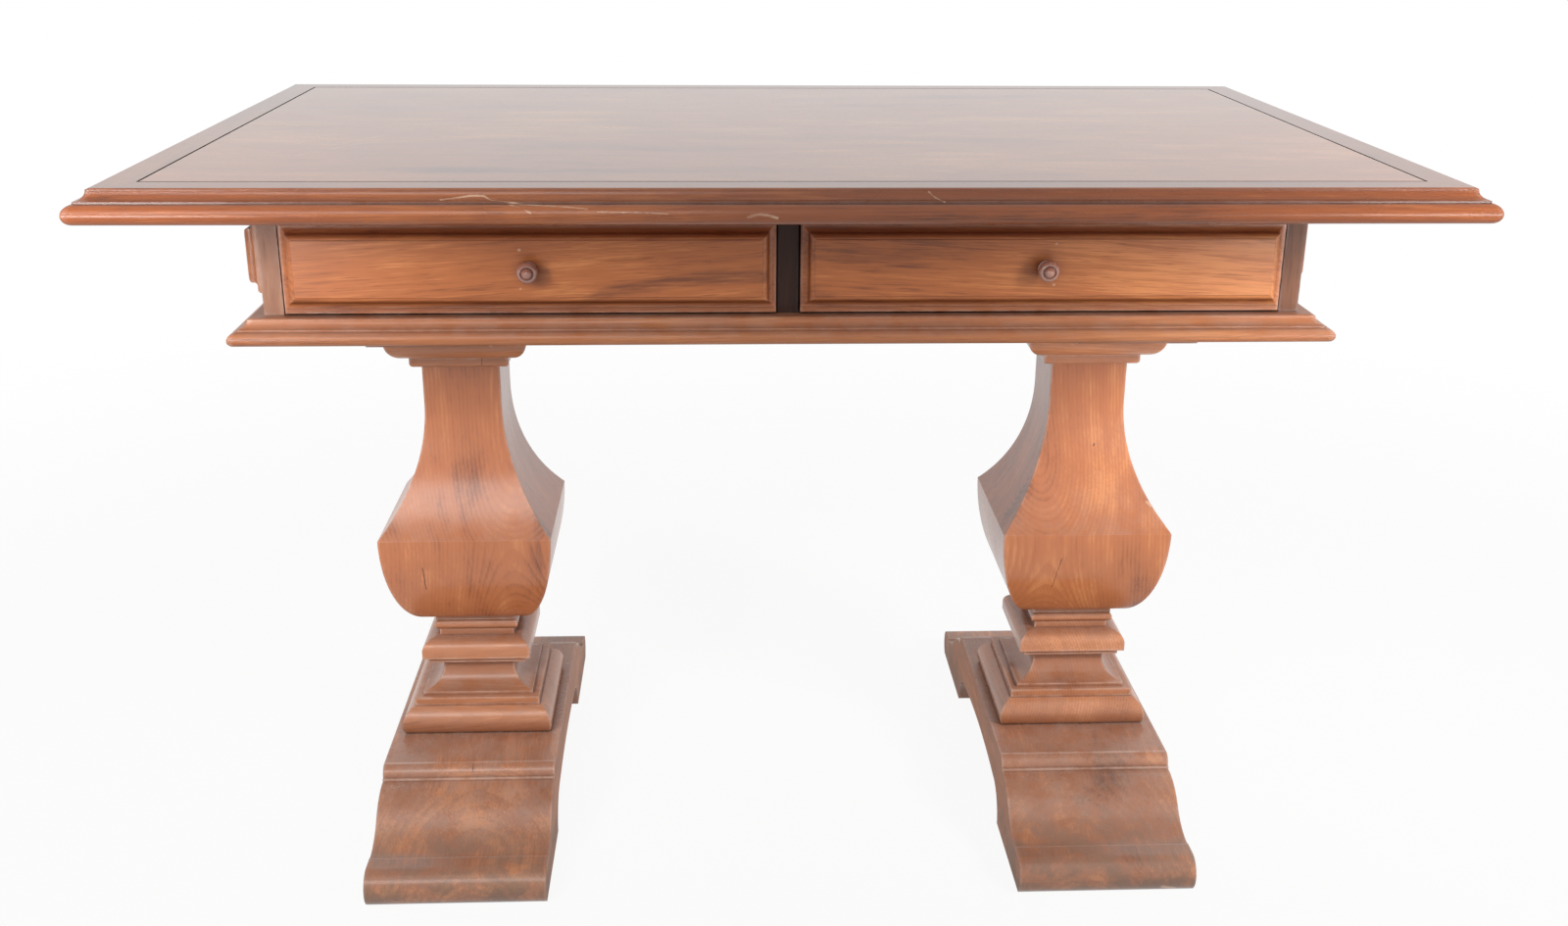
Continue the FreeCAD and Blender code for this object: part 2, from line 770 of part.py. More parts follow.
def dovetails(outer_x, inner_x):
    """Two tails on the front end of a drawer side, which fill sockets in the drawer front."""
    low_z = drawer_bottom_top_z + dovetail_margin
    high_z = drawer_side_top_z - dovetail_margin
    root = dovetail_root / 2
    tails = []
    for middle in (low_z + root + dovetail_flare, high_z - root - dovetail_flare):
        wide = root + dovetail_flare
        tip_y = front_back_y - dovetail_length
        outline = Part.makePolygon([
            Vector(min(outer_x, inner_x), front_back_y, middle - root),
            Vector(min(outer_x, inner_x), tip_y, middle - wide),
            Vector(min(outer_x, inner_x), tip_y, middle + wide),
            Vector(min(outer_x, inner_x), front_back_y, middle + root),
            Vector(min(outer_x, inner_x), front_back_y, middle - root),
        ])
        tails.append(Part.Face(outline).extrude(Vector(abs(outer_x - inner_x), 0, 0)))
    return tails


def knob():
    """A turned knob that points along -Y from its shoulder at the origin, with a tenon behind."""
    flange = (knob_flange_radius, knob_flange)
    neck = (knob_neck_radius, knob_neck)
    rim = (knob_radius, knob_rim)
    ring_out = (knob_ring_radius, knob_rim + knob_ring_rise)
    ring_in = (knob_button_radius, ring_out[1] - knob_groove)
    button = (0, knob_length)
    edges = run((0, -knob_tenon), (knob_tenon_radius, -knob_tenon), (knob_tenon_radius, 0))
    edges.extend(run((knob_tenon_radius, 0), (knob_flange_radius, 0), flange))
    edges.append(quarter(flange, neck))
    edges.append(upright_arc(neck, rim))
    edges.append(upright_arc(rim, ring_out))
    edges.extend(run(ring_out, ring_in))
    edges.append(level_arc(button, ring_in))
    edges.extend(run(button, (0, -knob_tenon)))
    body = face_of(edges).revolve(ORIGIN, Z_AXIS, 360)
    body.rotate(ORIGIN, Vector(1, 0, 0), 90)
    return body


def drawers():
    half = front_width / 2
    inside = half - drawer_side_thickness
    groove_half = inside + drawer_groove_depth
    front_groove_y = front_back_y - drawer_groove_depth
    board = moved(
        raised_board(front_width, front_height, front_base, front_side_margin, front_top_margin),
        y=front_back_y, z=front_middle_z,
    )
    bottom = box(
        -groove_half, groove_half, front_groove_y, drawer_rear_y, drawer_bottom_z, drawer_bottom_top_z
    )
    socket = Part.makeCylinder(
        knob_tenon_radius + knob_clearance, knob_tenon + knob_clearance,
        Vector(0, front_face_y, front_middle_z), Vector(0, 1, 0),
    )
    front = board.cut(bottom).cut(socket)
    pieces = {"bottom": bottom, "knob": moved(knob(), y=front_face_y, z=front_middle_z)}
    for side, way in (("left", -1), ("right", 1)):
        outer_x = way * half
        inner_x = way * inside
        wall = box(
            min(outer_x, inner_x), max(outer_x, inner_x), front_back_y, drawer_rear_y,
            drawer_foot_z, drawer_side_top_z,
        )
        for tail in dovetails(outer_x, inner_x):
            front = front.cut(tail)
            wall = wall.fuse(tail)
        pieces[f"{side}_side"] = wall.removeSplitter().cut(bottom)
    pieces["front"] = front
    pieces["back"] = box(
        -inside, inside, drawer_rear_y - drawer_back_thickness, drawer_rear_y,
        drawer_bottom_top_z, drawer_side_top_z - drawer_back_drop,
    )
    for side, x in (("left", -drawer_x), ("right", drawer_x)):
        for name, piece in pieces.items():
            nodes[f"{side}_drawer_{name}"] = moved(piece, x=x)


pedestals()
base_frame()
case_floor()
case_walls()
kickers()
raised_panels()
drawer_stops()
top()
drawers()

os.makedirs("parts", exist_ok=True)
for node_name, shape in nodes.items():
    shape.exportStep(f"parts/{node_name}.step")
print(len(nodes), "nodes,", sum(len(shape.Solids) for shape in nodes.values()), "solids, height", desk_height)
for node_name, shape in nodes.items():
    if not shape.isValid() or any(solid.Volume <= 0 for solid in shape.Solids):
        print("not valid:", node_name)
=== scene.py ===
import math
import bpy
from mathutils import Euler, Matrix, Vector


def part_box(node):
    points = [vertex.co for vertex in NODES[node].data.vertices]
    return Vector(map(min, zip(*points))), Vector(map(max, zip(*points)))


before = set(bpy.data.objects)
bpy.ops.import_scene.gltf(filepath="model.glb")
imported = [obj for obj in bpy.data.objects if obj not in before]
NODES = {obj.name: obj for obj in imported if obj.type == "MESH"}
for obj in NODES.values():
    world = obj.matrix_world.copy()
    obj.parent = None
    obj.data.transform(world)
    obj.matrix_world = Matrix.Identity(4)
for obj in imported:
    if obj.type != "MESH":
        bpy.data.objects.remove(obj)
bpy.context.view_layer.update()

SCENE = bpy.context.scene
SCENE.view_settings.view_transform = "Standard"


def srgb(red, green, blue):
    """A colour as it is seen on screen, 0 to 255, turned into linear light."""
    def one(value):
        part = value / 255.0
        return part / 12.92 if part <= 0.04045 else ((part + 0.055) / 1.055) ** 2.4
    return (one(red), one(green), one(blue), 1.0)


def shade(colour, lift, share):
    """A share of a colour, lifted towards white."""
    return tuple(lift + share * part for part in colour[:3]) + (1.0,)


# What a finish has where it gives nothing else.
PLAIN = dict(fine=0.8, streak=0.20, polish=0.0, haze=0.0, dust=0.0, level=0.15, crease=0.8)


def wood_finish(light, middle, dark, **given):
    """A finish from its three tones, as they are seen on screen, and its other values."""
    return {**PLAIN, "light": srgb(*light), "middle": srgb(*middle), "dark": srgb(*dark), **given}


def retoned(first, light, middle, dark, **given):
    """Another finish in other tones."""
    return {**first, "light": srgb(*light), "middle": srgb(*middle), "dark": srgb(*dark), **given}


# Finishes. Each gives its tones from light to dark, the spacing in metres and the strength of the growth
# rings, how figured, fine and streaked the wood is, its roughness and how much of that is polished away on
# what lies level, its index of refraction, the grey haze all over it and the dust from some level on, both
# partly a painted sheen, how strong the pale arrises of wear and painted highlight are, and how strong the
# painted shade is, with some stain and dirt in it, in hollows, in corners and in creases.
FINISHES = {
    "top": wood_finish(
        (216, 144, 92), (178, 106, 66), (104, 55, 36), ring=0.0040, rings=0.08, figure=0.22, fine=1.0,
        streak=0.24, rough=0.07, ior=1.64, haze=0.03, level=0.5, wear=0.2, stain=0.0, grime=0.3),
    "border": wood_finish(
        (174, 100, 53), (146, 78, 40), (66, 34, 22), ring=0.0030, rings=0.10, figure=0.14, streak=0.30,
        rough=0.26, polish=0.19, ior=1.52, dust=0.10, level=0.93, wear=0.14, stain=0.90, grime=0.8),
    "case": wood_finish(
        (194, 126, 76), (170, 102, 58), (114, 63, 37), ring=0.0030, rings=0.10, figure=0.12, streak=0.28,
        rough=0.30, ior=1.50, haze=0.04, dust=0.20, wear=0.36, stain=0.36, grime=0.35),
    "stile": wood_finish(
        (134, 89, 65), (110, 69, 49), (74, 44, 32), ring=0.0034, rings=0.14, figure=0.14, fine=0.9,
        streak=0.30, rough=0.40, ior=1.36, dust=0.05, wear=0.35, stain=0.30, grime=0.5),
    "drawer": wood_finish(
        (208, 133, 77), (180, 105, 57), (105, 55, 32), ring=0.0036, rings=0.12, figure=0.18, fine=1.1,
        rough=0.32, ior=1.50, dust=0.05, wear=0.40, stain=0.50, grime=0.5),
    "shaft": wood_finish(
        (211, 139, 90), (182, 109, 67), (112, 60, 40), ring=0.0042, rings=0.11, figure=0.25, fine=0.45,
        streak=0.26, rough=0.20, ior=1.60, haze=0.02, dust=0.24, level=0.25, wear=0.45, stain=0.20,
        grime=0.4),
    "block": wood_finish(
        (216, 146, 100), (188, 121, 80), (122, 71, 47), ring=0.0034, rings=0.13, figure=0.14, fine=0.7,
        streak=0.16, rough=0.21, ior=1.56, haze=0.06, dust=0.12, wear=0.55, stain=0.50, grime=0.6),
    "foot": wood_finish(
        (212, 142, 96), (172, 112, 79), (110, 70, 51), ring=0.0080, rings=0.09, figure=0.24, streak=0.12,
        rough=0.22, ior=1.56, haze=0.13, dust=0.14, wear=0.60, stain=0.25, grime=0.4),
    # Painted shade over darker wood: the muntin's finish is darkened for the shadow between the drawers.
    "dark": wood_finish(
        (66, 39, 30), (50, 29, 22), (36, 21, 16), ring=0.0025, rings=0.10, figure=0.06,
        rough=0.50, ior=1.33, wear=0.10, stain=0.2, grime=0.6),
    "string": wood_finish(
        (46, 28, 23), (34, 21, 17), (24, 15, 13), ring=0.0020, rings=0.10, figure=0.06,
        rough=0.60, ior=1.08, wear=0.0, stain=0.0, grime=0.2),
    "knob": wood_finish(
        (186, 130, 108), (160, 104, 86), (104, 62, 51), ring=0.0020, rings=0.14, figure=0.08, fine=0.6,
        rough=0.13, ior=1.80, wear=0.45, stain=0.3, grime=0.6, crease=0.2),
    "inner": wood_finish(
        (196, 160, 118), (180, 140, 98), (148, 108, 72), ring=0.0035, rings=0.14, figure=0.08, fine=1.0,
        streak=0.18, rough=0.58, ior=1.45, haze=0.03, dust=0.05, wear=0.15, stain=0.1, grime=0.4),
}
# Painted light, partly paler wood: the left stile's lighter copy of the stile finish, lit more from the left.
FINISHES["pale_stile"] = retoned(
    FINISHES["stile"], (172, 122, 92), (146, 98, 71), (97, 60, 43), ior=1.46, haze=0.06)
FINISHES["warm_shaft"] = retoned(FINISHES["shaft"], (207, 134, 83), (177, 105, 62), (109, 59, 36))

# What settles on the wood, a grey of dust and painted sheen, or shows where it is hurt, and the steel's two
# greys.
DUST = srgb(182, 165, 156)
SCUFFED = srgb(208, 170, 142)
FLOOR_DIRT = srgb(98, 84, 68)
STEEL_DARK = srgb(150, 150, 148)
STEEL_LIGHT = srgb(186, 186, 182)

# Reaches in metres: how near other surfaces make a hollow or a crease that is painted darker as shade,
# how near an arris the wood is painted pale as wear and highlight, how wide such a pale line is and its core,
# how far edges are eased, and how deep the pores are.
HOLLOW_REACH = 0.042
CREASE_REACH = 0.0034
ARRIS_REACH = 0.0042
RUBBED_WIDTH = 0.0026
RUBBED_CORE = 0.0008
EASED_EDGE = 0.0011
PORE_DEPTH = 0.00015

# How strong the relief of the pores is, and how many rays feel for hollows, for finer forms and for edges.
PORE_STRENGTH = 0.12
HOLLOW_RAYS = 8
FINE_RAYS = 6
EDGE_RAYS = 4

# How far, in metres, the rings sway along the trunk and from year to year, how far marks shake and
# heartwood bends, and how far along its trunk each piece lies from the one before.
SLOW_SWAY = 0.034
QUICK_SWAY = 0.0012
MARK_SHAKE = 0.0016
HEART_BEND = 0.014
TRUNK_STEP = 3.7
FIRST_SEED = 1.0
NEXT_SEED = 0.61

# Noises, by what they make: cycles in a metre across the grain and along it, detail and roughness.
NOISES = {
    "slow_sway": (6.0, 1.3, 1.0, 0.5),
    "quick_sway": (45.0, 7.0, 2.0, 0.5),
    "era": (75.0, 75.0, 2.0, 0.5),
    "fibre": (620.0, 22.0, 3.0, 0.6),
    "hair": (820.0, 34.0, 1.0, 0.5),
    "lines": (240.0, 14.0, 3.0, 0.65),
    "tone": (11.0, 2.4, 3.0, 0.5),
    "flame": (30.0, 12.0, 3.0, 0.55),
    "streak": (16.0, 1.2, 2.0, 0.5),
    "patch": (38.0, 38.0, 3.0, 0.65),
    "shake": (260.0, 260.0, 2.0, 0.5),
    "smear": (9.0, 9.0, 3.0, 0.6),
    "turning": (400.0, 2500.0, 2.0, 0.5),
    "cloud": (60.0, 60.0, 3.0, 0.5),
}

# Marks, each with its kind, its width and a run of points on the surface: drying cracks, pale scuffs and
# filled holes of earlier handles, and a run of dark heartwood.
MARKS = {
    "right_shaft": [
        ("crack", 0.0010, [(0.293, 0.0373, 0.4021), (0.2881, 0.0324, 0.3903), (0.2828, 0.0251, 0.3793),
                           (0.2733, 0.0265, 0.3628), (0.2639, 0.0289, 0.349)]),
        ("crack", 0.0007, [(0.3225, -0.0938, 0.3074), (0.3179, -0.0905, 0.2867), (0.3153, -0.0862, 0.2702)]),
        ("crack", 0.0016, [(0.3609, -0.0484, 0.4300), (0.3599, -0.0488, 0.4280)]),
        ("scuff", 0.0022, [(0.4200, -0.0732, 0.3685), (0.4243, -0.0756, 0.3646)]),
    ],
    "left_shaft": [
        ("crack", 0.0008, [(-0.3984, -0.0934, 0.3044), (-0.3974, -0.0914, 0.2915),
                           (-0.3968, -0.0879, 0.2761)]),
        ("crack", 0.0009, [(-0.2867, -0.0423, 0.3872), (-0.2794, -0.0332, 0.373)]),
        ("crack", 0.0008, [(-0.2700, 0.0300, 0.3600), (-0.2621, 0.049, 0.3467)]),
    ],
    "left_foot": [
        ("crack", 0.0007, [(-0.3456, -0.1535, 0.0902), (-0.3454, -0.1583, 0.088),
                           (-0.3457, -0.1613, 0.0847)]),
        ("scuff", 0.0030, [(-0.3649, -0.2977, 0.0030), (-0.3400, -0.2977, 0.0020)]),
    ],
    "right_foot": [("scuff", 0.0040, [(0.4116, -0.2952, 0.0063), (0.4240, -0.2930, 0.0030)])],
    "left_cap_fillet": [("crack", 0.0006, [(-0.3249, -0.054, 0.5370), (-0.3253, -0.0538, 0.5270)])],
    "left_drawer_front": [
        ("scuff", 0.0019, [(-0.2520, -0.2795, 0.7057), (-0.2515, -0.2795, 0.7057)]),
        ("scuff", 0.0013, [(-0.2523, -0.2795, 0.6689), (-0.2520, -0.2795, 0.6689)]),
        ("heart", 0.0100, [(-0.1900, -0.2795, 0.6560), (-0.1614, -0.2795, 0.6660), (-0.1154, -0.2795, 0.6740),
                           (-0.0601, -0.2795, 0.6800), (-0.0100, -0.2795, 0.6820)]),
    ],
    "right_drawer_front": [
        ("scuff", 0.0015, [(0.2523, -0.2795, 0.7107), (0.2526, -0.2795, 0.7107)]),
        ("scuff", 0.0017, [(0.2521, -0.2795, 0.671), (0.2525, -0.2795, 0.671)]),
    ],
    "top_border_front": [
        ("scuff", 0.0013, [(-0.3047, -0.3790, 0.7715), (-0.2796, -0.3755, 0.7740), (-0.2679, -0.3755, 0.7740),
                           (-0.2612, -0.3800, 0.7710), (-0.2377, -0.3840, 0.7690), (-0.2126, -0.3862, 0.7675),
                           (-0.1791, -0.3890, 0.7650)]),
        ("scuff", 0.0012, [(-0.2461, -0.3845, 0.7686), (-0.2277, -0.3909, 0.7624)]),
        ("scuff", 0.0017, [(-0.0410, -0.3915, 0.7585), (-0.0326, -0.3914, 0.7608), (-0.0243, -0.3914, 0.7600),
                           (-0.0159, -0.3915, 0.7575)]),
        ("scuff", 0.0013, [(0.1168, -0.3743, 0.7769), (0.1225, -0.3775, 0.7730), (0.1296, -0.3830, 0.7700)]),
        ("scuff", 0.0006, [(-0.1700, -0.3905, 0.7630), (-0.1300, -0.3908, 0.7622),
                           (-0.1100, -0.3912, 0.7612)]),
    ],
    "top_front_board": [
        ("scuff", 0.0016, [(0.133, -0.2832, 0.7803), (0.1551, -0.2939, 0.7803)]),
        ("scuff", 0.0012, [(-0.470, -0.200, 0.7803), (-0.420, -0.120, 0.7803), (-0.380, -0.105, 0.7803)]),
        ("scuff", 0.0010, [(-0.455, -0.146, 0.7803), (-0.405, -0.060, 0.7803)]),
    ],
}

# Arrises of the feet, painted as pale lines of wear and highlight: their distance from the desk's middle,
# alike at front and back, and their height.
FOOT_LINES = [(0.151, 0.0905), (0.166, 0.0785), (0.259, 0.037)]

# Which way the grain runs, as the two axes across it and the one along it.
AXES = {"X": (1, 2, 0), "Y": (0, 2, 1), "Z": (0, 1, 2)}

# Every wooden piece: its finish, the run of its grain, the pith's place beside its middle, and the trunk's
# lean.
PIECES = [
    ("top_front_board", "top", "X", (0.04, -0.30), (0.0, 0.05)),
    ("top_rear_board", "top", "X", (-0.07, -0.26), (0.0, -0.04)),
    ("top_border_front", "border", "X", (0.03, -0.12), (0.0, 0.03)),
    ("top_border_rear", "border", "X", (-0.03, -0.14), (0.0, -0.03)),
    ("top_border_left", "border", "Y", (0.03, -0.12), (0.0, 0.03)),
    ("top_border_right", "border", "Y", (-0.03, -0.13), (0.0, -0.02)),
    # The left stile's paler finish is partly painted light.
    ("front_left_stile", "pale_stile", "Z", (0.04, 0.10), (0.03, 0.0)),
    ("front_right_stile", "stile", "Z", (-0.04, 0.11), (0.03, 0.0)),
    ("front_top_rail", "case", "X", (0.05, -0.12), (0.0, 0.02)),
    ("case_left_end", "case", "Y", (0.12, 0.05), (0.0, 0.04)),
    ("case_right_end", "case", "Y", (-0.12, 0.04), (0.0, 0.04)),
    ("case_back", "case", "X", (-0.14, 0.03), (0.04, 0.0)),
    ("left_end_panel", "case", "Y", (0.09, 0.03), (0.0, 0.10)),
    ("right_end_panel", "case", "Y", (-0.09, 0.02), (0.0, -0.10)),
    ("rear_left_panel", "case", "X", (-0.10, 0.02), (0.09, 0.0)),
    ("rear_right_panel", "case", "X", (-0.11, -0.02), (-0.09, 0.0)),
    ("base_moulding_front", "case", "X", (0.05, -0.10), (0.0, 0.02)),
    ("base_moulding_rear", "case", "X", (-0.05, -0.10), (0.0, -0.02)),
    ("base_moulding_left", "case", "Y", (0.05, -0.10), (0.0, 0.02)),
    ("base_moulding_right", "case", "Y", (-0.05, -0.11), (0.0, -0.02)),
    ("left_drawer_front", "drawer", "X", (0.09, -0.05), (0.05, 0.02)),
    ("right_drawer_front", "drawer", "X", (0.11, 0.06), (-0.04, 0.02)),
    ("left_shaft", "shaft", "Z", (0.06, -0.03), (0.05, 0.03)),
    ("right_shaft", "warm_shaft", "Z", (-0.05, -0.05), (-0.04, 0.06)),
    ("left_foot", "foot", "Y", (0.01, -0.04), (0.04, 0.03)),
    ("right_foot", "foot", "Y", (-0.02, -0.05), (0.05, -0.03)),
    ("left_cap", "block", "X", (0.05, 0.09), (0.04, 0.02)),
    ("right_cap", "block", "X", (-0.05, 0.09), (-0.04, 0.02)),
    ("left_cap_fillet", "block", "X", (0.06, -0.08), (0.03, 0.02)),
    ("right_cap_fillet", "block", "X", (0.07, -0.08), (-0.03, 0.02)),
    ("left_neck_collar", "block", "X", (0.06, -0.07), (0.05, 0.03)),
    ("right_neck_collar", "block", "Y", (-0.16, -0.05), (0.03, 0.03)),
    ("left_scotia_block", "block", "X", (0.09, -0.07), (0.04, 0.03)),
    ("right_scotia_block", "block", "Y", (-0.18, -0.04), (0.02, 0.02)),
    ("left_plinth_torus", "block", "X", (0.05, -0.10), (0.05, 0.03)),
    ("right_plinth_torus", "block", "Y", (0.20, -0.06), (0.03, 0.02)),
    ("left_bearer", "case", "Y", (0.06, -0.09), (0.0, 0.03)),
    ("right_bearer", "case", "Y", (-0.06, -0.09), (0.0, -0.03)),
    # The muntin's dark finish is partly painted shade.
    ("centre_muntin", "dark", "Z", (0.03, 0.09), (0.02, 0.0)),
    ("top_string_inlay", "string", "X", (0.08, -0.10), (0.0, 0.0)),
    ("left_drawer_knob", "knob", "Y", (0.03, -0.04), (0.0, 0.0)),
    ("right_drawer_knob", "knob", "Y", (-0.03, -0.05), (0.0, 0.0)),
    ("case_floor", "inner", "X", (0.05, -0.20), (0.0, 0.03)),
    ("centre_partition", "inner", "Y", (0.12, 0.03), (0.0, 0.05)),
    ("drawer_kickers", "inner", "Y", (0.05, -0.10), (0.0, 0.02)),
    ("drawer_stops", "inner", "X", (0.03, -0.06), (0.0, 0.0)),
]
for side in ("left", "right"):
    PIECES += [
        (side + "_drawer_left_side", "inner", "Y", (0.10, 0.02), (0.0, 0.08)),
        (side + "_drawer_right_side", "inner", "Y", (-0.11, 0.03), (0.0, -0.07)),
        (side + "_drawer_back", "inner", "X", (-0.10, 0.02), (0.08, 0.0)),
        (side + "_drawer_bottom", "inner", "X", (0.03, -0.22), (0.02, 0.05)),
    ]
STEEL_PIECES = ("pedestal_tie_rods", "tie_rod_nuts", "bearer_screws", "top_screws")

# Softboxes: where each stands, what it is turned to, its width and height in metres, its spread in degrees,
# its power in watts, and whether it is mirrored in the wood. One that isn't lights the wood but leaves no
# glare on it.
LAMPS = {
    "left_softbox": ((-0.98, -1.34, 1.12), (-0.74, -0.30, 0.58), 0.34, 0.34, 68.0, 2.6, False),
    "left_low_softbox": ((-0.98, -1.34, 0.62), (-0.86, -0.30, 0.64), 0.40, 0.28, 60.0, 1.0, True),
    "right_softbox": ((1.36, -1.26, 1.26), (0.96, -0.33, 0.70), 0.36, 0.38, 68.0, 5.2, False),
    "right_low_softbox": ((1.20, -1.40, 0.60), (0.54, -0.15, 0.58), 0.50, 0.30, 46.0, 0.6, True),
    "right_shaft_softbox": ((1.05, -1.35, 0.30), (0.345, -0.06, 0.49), 0.20, 0.20, 16.0, 0.07, False),
    "high_softbox": ((-0.68, -1.74, 1.59), (-0.26, -0.10, 0.42), 1.10, 0.72, 110.0, 2.8, True),
}

# The room: how much of the white surround lights the desk, the floor's half width and grey, how far from
# the desk's middle the floor starts and ends turning plain white, and how white it already is there.
WHITE = (1.0, 1.0, 1.0, 1.0)
ROOM_LIGHT = 0.35
FLOOR_REACH = 9.0
FLOOR_GREY = (0.86, 0.86, 0.86, 1.0)
FADE_START = 0.7
FADE_END = 2.6
NEAR_WHITE = 0.92

# The camera, solved from the photo's straight edges: its turn, tip and lean in radians, its place in
# metres, its sensor's width in millimetres, and its focal length and the picture's width in pixels.
YAW = 0.046976
PITCH = 0.345007
ROLL = 0.007931
EYE = (-0.073797, -1.778659, 1.032403)
SENSOR_WIDTH = 36.0
FOCAL_PIXELS = 1657.57
PICTURE_PIXELS = 1600.0


class Graph:
    """A tree of shader nodes, with a short call for each kind that the scene uses."""

    def __init__(self, tree):
        self.tree = tree

    def add(self, kind):
        return self.tree.nodes.new(kind)

    def put(self, socket, value):
        """Link a socket to another one, or set it to a plain value."""
        if isinstance(value, bpy.types.NodeSocket):
            self.tree.links.new(value, socket)
        else:
            socket.default_value = value

    def surface(self, kind):
        """A shader of some kind, shown as the material's surface."""
        shader = self.add(kind)
        self.put(self.add("ShaderNodeOutputMaterial").inputs[0], shader.outputs[0])
        return shader

    def split(self, vector):
        made = self.add("ShaderNodeSeparateXYZ")
        self.put(made.inputs[0], vector)
        return made.outputs

    def join(self, *parts):
        made = self.add("ShaderNodeCombineXYZ")
        for socket, part in zip(made.inputs, parts):
            self.put(socket, part)
        return made.outputs[0]

    def math(self, operation, first, second=0.0, third=0.0, clamp=False):
        made = self.add("ShaderNodeMath")
        made.operation = operation
        made.use_clamp = clamp
        for socket, value in zip(made.inputs, (first, second, third)):
            self.put(socket, value)
        return made.outputs[0]

    def product(self, first, second):
        return self.math("MULTIPLY", first, second)

    def shifted(self, value, part, middle, amount):
        """A value with more or less added to it, as a part lies over or under its middle."""
        return self.math("MULTIPLY_ADD", self.math("SUBTRACT", part, middle), amount, value)

    def vector(self, operation, first, second=(0.0, 0.0, 0.0)):
        made = self.add("ShaderNodeVectorMath")
        made.operation = operation
        self.put(made.inputs[0], first)
        self.put(made.inputs[1], second)
        gives_number = operation in ("LENGTH", "DOT_PRODUCT", "DISTANCE")
        return made.outputs["Value" if gives_number else "Vector"]

    def scaled(self, vector, factor):
        made = self.add("ShaderNodeVectorMath")
        made.operation = "SCALE"
        self.put(made.inputs[0], vector)
        self.put(made.inputs["Scale"], factor)
        return made.outputs[0]

    def noise(self, name, vector):
        """The named noise, as a number and as a colour."""
        across, along, detail, rough = NOISES[name]
        made = self.add("ShaderNodeTexNoise")
        self.put(made.inputs["Vector"], self.vector("MULTIPLY", vector, (across, across, along)))
        made.inputs["Scale"].default_value = 1.0
        made.inputs["Detail"].default_value = detail
        made.inputs["Roughness"].default_value = rough
        return made.outputs[0], made.outputs[1]

    def swayed(self, place, colour, reach):
        """A place moved about by a noise's colour."""
        offset = self.vector("SUBTRACT", colour, (0.5, 0.5, 0.5))
        return self.vector("ADD", place, self.scaled(offset, reach))

    def smooth(self, value, start, end, low=0.0, high=1.0):
        """Low where a value is at its start, high at its end, and a soft step between them."""
        made = self.add("ShaderNodeMapRange")
        made.interpolation_type = "SMOOTHSTEP"
        for socket, given in zip(made.inputs, (value, start, end, low, high)):
            self.put(socket, given)
        return made.outputs[0]

    def run(self, place, points, width):
        """1 on a line through the points, fading to 0 at its width."""
        nearest = None
        for start, end in zip(points, points[1:]):
            along = Vector(end) - Vector(start)
            offset = self.vector("SUBTRACT", place, start)
            reached = self.vector("DOT_PRODUCT", offset, tuple(along))
            share = self.math("DIVIDE", reached, along.length_squared, clamp=True)
            gap = self.vector("LENGTH", self.vector("SUBTRACT", offset, self.scaled(tuple(along), share)))
            nearest = gap if nearest is None else self.math("MINIMUM", nearest, gap)
        return self.smooth(nearest, width, width * 0.3)

    def openness(self, reach, rays, inward=False):
        """How open a surface is within some reach: to the room, or inward to the air round its own solid."""
        made = self.add("ShaderNodeAmbientOcclusion")
        made.samples = rays
        made.inside = inward
        made.only_local = inward
        made.inputs["Distance"].default_value = reach
        return made.outputs["AO"]

    def ramp(self, value, stops):
        made = self.add("ShaderNodeValToRGB")
        made.color_ramp.interpolation = "EASE"
        bar = made.color_ramp.elements
        while len(bar) < len(stops):
            bar.new(0.5)
        for element, (place, colour) in zip(bar, stops):
            element.position = place
            element.color = colour
        self.put(made.inputs[0], value)
        return made.outputs[0]

    def mix(self, factor, first, second):
        made = self.add("ShaderNodeMix")
        made.data_type = "RGBA"
        self.put(made.inputs[0], factor)
        self.put(made.inputs[6], first)
        self.put(made.inputs[7], second)
        return made.outputs[2]


def empty_material(name):
    material = bpy.data.materials.new(name)
    material.use_nodes = True
    material.node_tree.nodes.clear()
    return material


